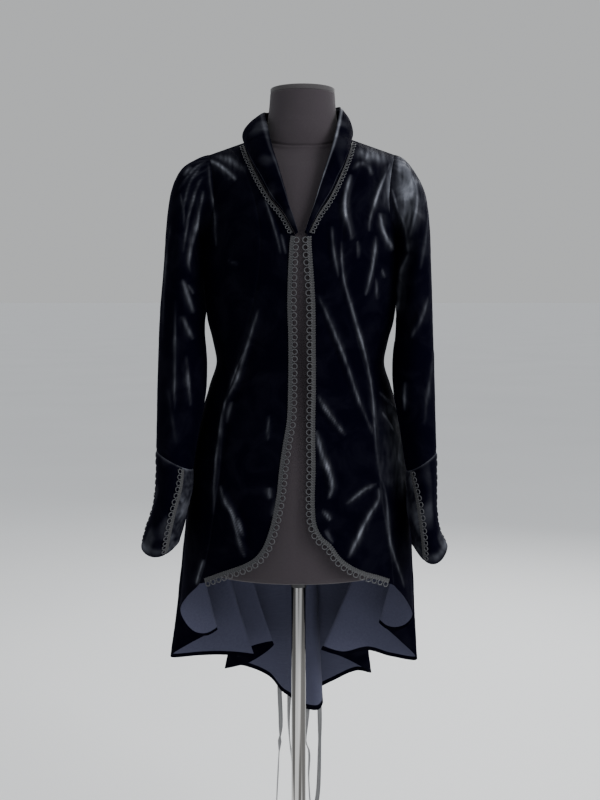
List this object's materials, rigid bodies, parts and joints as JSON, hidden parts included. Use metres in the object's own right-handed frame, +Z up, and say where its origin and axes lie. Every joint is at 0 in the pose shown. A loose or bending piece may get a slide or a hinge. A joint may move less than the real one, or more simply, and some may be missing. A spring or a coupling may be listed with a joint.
{
  "type": "gothic victorian jacket on dress form",
  "caption": "Open-front velvet jacket with a stand collar, flared cuffs, looped braid and a long folded tail, worn by a limbless dress form on a steel pole.",
  "frame": {"origin": "centre of the underside of the base", "axes": "+Z up along the pole, -Y towards the viewer of the jacket's front, +X towards the wearer's left side"},
  "size_m": [0.5102, 0.4206, 1.492],
  "materials": {
    "velvet": "black stretch velvet, matt dark blue-grey on its wrong side",
    "gimp": "grey-black corded braid with open loops",
    "ribbon": "thin grey satin ribbon",
    "jersey": "matt charcoal jersey",
    "cap": "matt charcoal jersey, a little lighter",
    "socket": "black",
    "chrome": "polished",
    "base": "satin black"
  },
  "bodies": {
    "root": {"FrontLeft": "velvet", "SideFrontLeft": "velvet", "BackLeft": "velvet", "SleeveLeft": "velvet", "CuffTopLeft": "velvet", "CuffUnderLeft": "velvet", "EdgeBraidLeft": "gimp", "CollarBraidLeft": "gimp", "CuffFrontBraidLeft": "gimp", "CuffOuterBraidLeft": "gimp", "TieLeft": "ribbon", "FrontRight": "velvet", "SideFrontRight": "velvet", "BackRight": "velvet", "SleeveRight": "velvet", "CuffTopRight": "velvet", "CuffUnderRight": "velvet", "EdgeBraidRight": "gimp", "CollarBraidRight": "gimp", "CuffFrontBraidRight": "gimp", "CuffOuterBraidRight": "gimp", "TieRight": "ribbon", "Collar": "velvet", "Knot": "ribbon", "Tail1": "ribbon", "Tail2": "ribbon", "Tail3": "ribbon", "Tail4": "ribbon", "FormTorso": "jersey", "NeckCap": "cap", "Socket": "socket", "Pole": "chrome", "Base": "base"}
  },
  "joints": []
}
